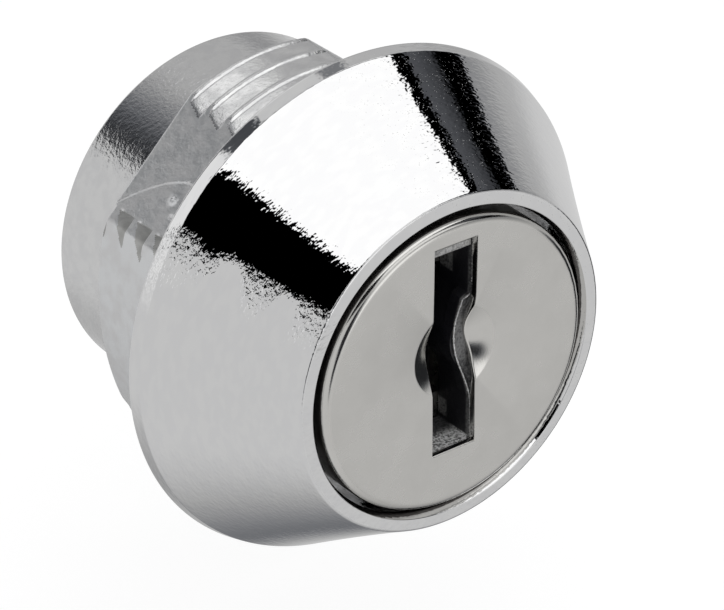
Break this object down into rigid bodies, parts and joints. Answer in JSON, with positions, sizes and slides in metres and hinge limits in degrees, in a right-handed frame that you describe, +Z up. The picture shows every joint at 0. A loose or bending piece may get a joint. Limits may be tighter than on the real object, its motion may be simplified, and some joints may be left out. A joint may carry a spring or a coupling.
{
  "type": "cam lock",
  "caption": "Cam lock with a conical chromed collar, a threaded body with two flats, a plate tumbler plug behind a satin face cap, and a flat cam that swings a quarter turn.",
  "frame": {"origin": "on the lock's axis, in the plane of the collar's back face, where the panel's front face comes", "axes": "+Y along the axis from the collar towards the cam, +Z up along the keyway, so the front faces -Y"},
  "size_m": [0.0317, 0.0242, 0.0317],
  "materials": {
    "bright_chrome": "bright plated zinc casting, mirror on the collar and duller with a cast skin behind it",
    "satin_steel": "satin stainless sheet",
    "cast_zinc": "as-cast zinc with a fine grain",
    "nickel_silver": "stamped nickel silver plate, satin",
    "spring_steel": "bright hardened wire and strip",
    "plated_steel": "zinc plated, softly mottled"
  },
  "bodies": {
    "housing": {"housing": "bright_chrome"},
    "plug": {"plug": "cast_zinc", "face_cap": "satin_steel", "retaining_ring": "spring_steel", "stop_washer": "plated_steel", "cam": "plated_steel", "disc_spring": "spring_steel", "cam_screw": "plated_steel", "wafer_spring_1": "spring_steel", "wafer_spring_2": "spring_steel", "wafer_spring_3": "spring_steel", "wafer_spring_4": "spring_steel", "wafer_spring_5": "spring_steel", "wafer_spring_6": "spring_steel", "wafer_spring_7": "spring_steel"},
    "wafer_1": {"wafer_1": "nickel_silver"},
    "wafer_2": {"wafer_2": "nickel_silver"},
    "wafer_3": {"wafer_3": "nickel_silver"},
    "wafer_4": {"wafer_4": "nickel_silver"},
    "wafer_5": {"wafer_5": "nickel_silver"},
    "wafer_6": {"wafer_6": "nickel_silver"},
    "wafer_7": {"wafer_7": "nickel_silver"}
  },
  "joints": [
    {"name": "plug_turn", "type": "hinge", "parent": "housing", "child": "plug", "pos_m": [0, 0, 0], "axis": [0, 1, 0], "range_deg": [0, 90]},
    {"name": "wafer_1_slide", "type": "slide", "parent": "plug", "child": "wafer_1", "axis": [0, 0, 1], "range_m": [0, 0.0008], "stiffness_N_per_m": 60, "springref_m": 0.002, "deforming": ["wafer_spring_1"]},
    {"name": "wafer_2_slide", "type": "slide", "parent": "plug", "child": "wafer_2", "axis": [0, 0, -1], "range_m": [0, 0.0008], "stiffness_N_per_m": 60, "springref_m": 0.002, "deforming": ["wafer_spring_2"]},
    {"name": "wafer_3_slide", "type": "slide", "parent": "plug", "child": "wafer_3", "axis": [0, 0, 1], "range_m": [0, 0.0008], "stiffness_N_per_m": 60, "springref_m": 0.002, "deforming": ["wafer_spring_3"]},
    {"name": "wafer_4_slide", "type": "slide", "parent": "plug", "child": "wafer_4", "axis": [0, 0, -1], "range_m": [0, 0.0008], "stiffness_N_per_m": 60, "springref_m": 0.002, "deforming": ["wafer_spring_4"]},
    {"name": "wafer_5_slide", "type": "slide", "parent": "plug", "child": "wafer_5", "axis": [0, 0, 1], "range_m": [0, 0.0008], "stiffness_N_per_m": 60, "springref_m": 0.002, "deforming": ["wafer_spring_5"]},
    {"name": "wafer_6_slide", "type": "slide", "parent": "plug", "child": "wafer_6", "axis": [0, 0, -1], "range_m": [0, 0.0008], "stiffness_N_per_m": 60, "springref_m": 0.002, "deforming": ["wafer_spring_6"]},
    {"name": "wafer_7_slide", "type": "slide", "parent": "plug", "child": "wafer_7", "axis": [0, 0, 1], "range_m": [0, 0.0008], "stiffness_N_per_m": 60, "springref_m": 0.002, "deforming": ["wafer_spring_7"]}
  ]
}
